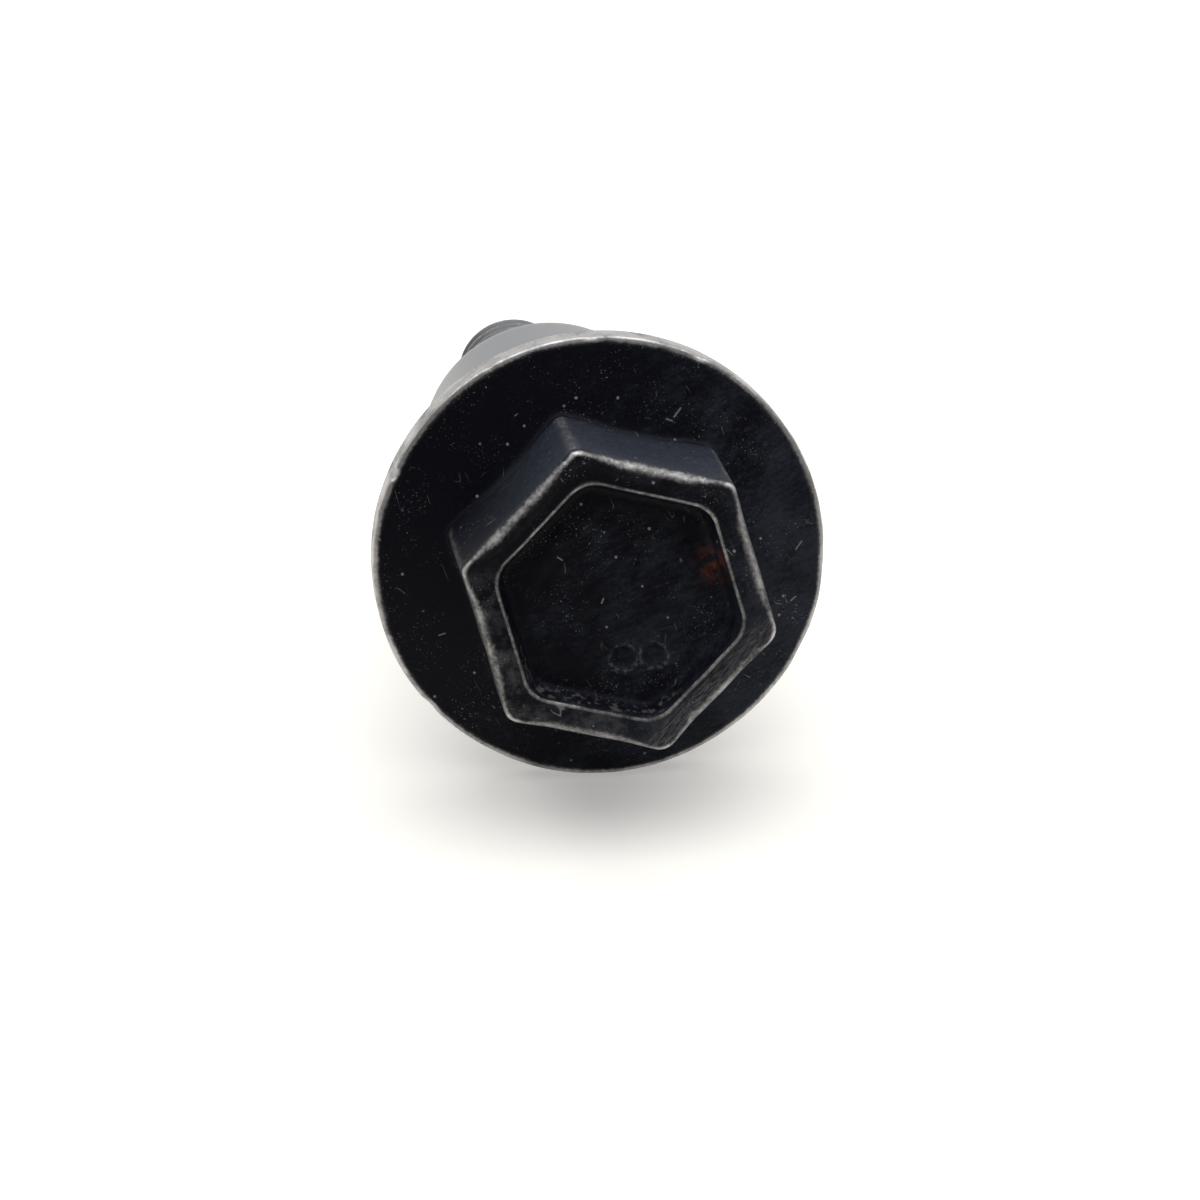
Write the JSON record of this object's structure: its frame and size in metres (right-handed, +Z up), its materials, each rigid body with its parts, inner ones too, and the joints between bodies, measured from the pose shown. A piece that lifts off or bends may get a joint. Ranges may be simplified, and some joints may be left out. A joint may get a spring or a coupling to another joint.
{
  "type": "chain guide bolt",
  "caption": "One-piece steel pivot bolt for a chain guide: indented hexagonal head, wide round flange, smooth shoulder and a thinner threaded end.",
  "frame": {"origin": "on the surface that the bolt lies on, under the middle of its bounding box", "axes": "+Z up; the head faces -Y; the shank runs towards +Y and slopes down 10.99 degrees, because the bolt lies on the rim of its flange and the end of its shoulder"},
  "size_m": [0.0212, 0.0494, 0.0211],
  "materials": {
    "black_steel": "black oxide, worn at the edges"
  },
  "bodies": {
    "root": {"guide_bolt": "black_steel"}
  },
  "joints": []
}
